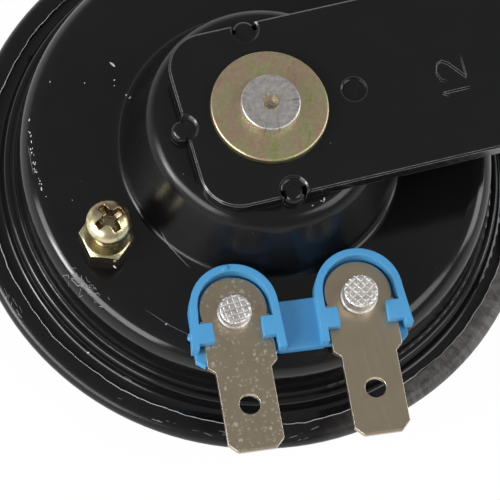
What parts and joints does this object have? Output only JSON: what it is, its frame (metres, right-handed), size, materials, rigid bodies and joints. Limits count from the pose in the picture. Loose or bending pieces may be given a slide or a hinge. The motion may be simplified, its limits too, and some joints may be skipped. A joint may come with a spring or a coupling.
{
  "type": "car horn",
  "caption": "Round electric disc horn: pressed black housing with folded rim, flat bracket arm, two blade terminals in a blue holder, adjusting screw, coil, armature and dished tone disc",
  "frame": {"origin": "on the horn's axis, in the plane that the tone disc's outer band rests on", "axes": "+Z from the tone disc through the housing to the mounting bracket; +X along the bracket's arm to its bolt hole; the two blade terminals point towards -Y"},
  "size_m": [0.0962, 0.0708, 0.0298],
  "materials": {
    "black_paint": "gloss black enamel, worn",
    "zinc_yellow": "yellow chromated zinc",
    "bare_steel": "turned steel, dull",
    "blue_plastic": "moulded, light gloss",
    "terminal_nickel_left": "nickel plated, spotted",
    "terminal_nickel_right": "nickel plated",
    "rivet_steel": "bright, checkered heads",
    "screw_zinc": "pale yellow zinc",
    "bobbin_plastic": "moulded nylon",
    "copper": "enamelled copper wire",
    "fibre_board": "laminated paper insulation",
    "spring_brass": "rolled spring strip",
    "contact_metal": "sintered contact",
    "gasket_rubber": "cut sheet",
    "disc_paint": "gloss black enamel"
  },
  "bodies": {
    "housing_side": {"housing": "black_paint", "diaphragm": "black_paint", "mounting_bracket": "black_paint", "gasket": "gasket_rubber", "bracket_washer": "zinc_yellow", "core": "bare_steel", "coil_bobbin": "bobbin_plastic", "coil_winding": "copper", "coil_lead_start": "copper", "coil_lead_finish": "copper", "terminal_holder": "blue_plastic", "terminal_left": "terminal_nickel_left", "terminal_right": "terminal_nickel_right", "terminal_rivet_left": "rivet_steel", "terminal_rivet_right": "rivet_steel", "adjusting_screw": "screw_zinc", "screw_tip": "bobbin_plastic", "lock_nut": "screw_zinc", "inner_insulator": "fibre_board", "contact_leaf": "spring_brass", "moving_contact": "contact_metal", "fixed_contact": "contact_metal", "contact_carrier": "spring_brass", "contact_spacer": "fibre_board", "insulating_washer": "fibre_board", "lead_tag": "spring_brass"},
    "vibrating_side": {"armature": "bare_steel", "disc_spacer": "bare_steel", "tone_disc": "disc_paint", "disc_washer": "zinc_yellow", "disc_nut": "zinc_yellow"}
  },
  "joints": [
    {"name": "diaphragm_stroke", "type": "slide", "parent": "housing_side", "child": "vibrating_side", "axis": [0, 0, 1], "range_m": [-0.00035, 0.00035], "stiffness_N_per_m": 8000, "deforming": ["diaphragm", "contact_leaf"]}
  ]
}
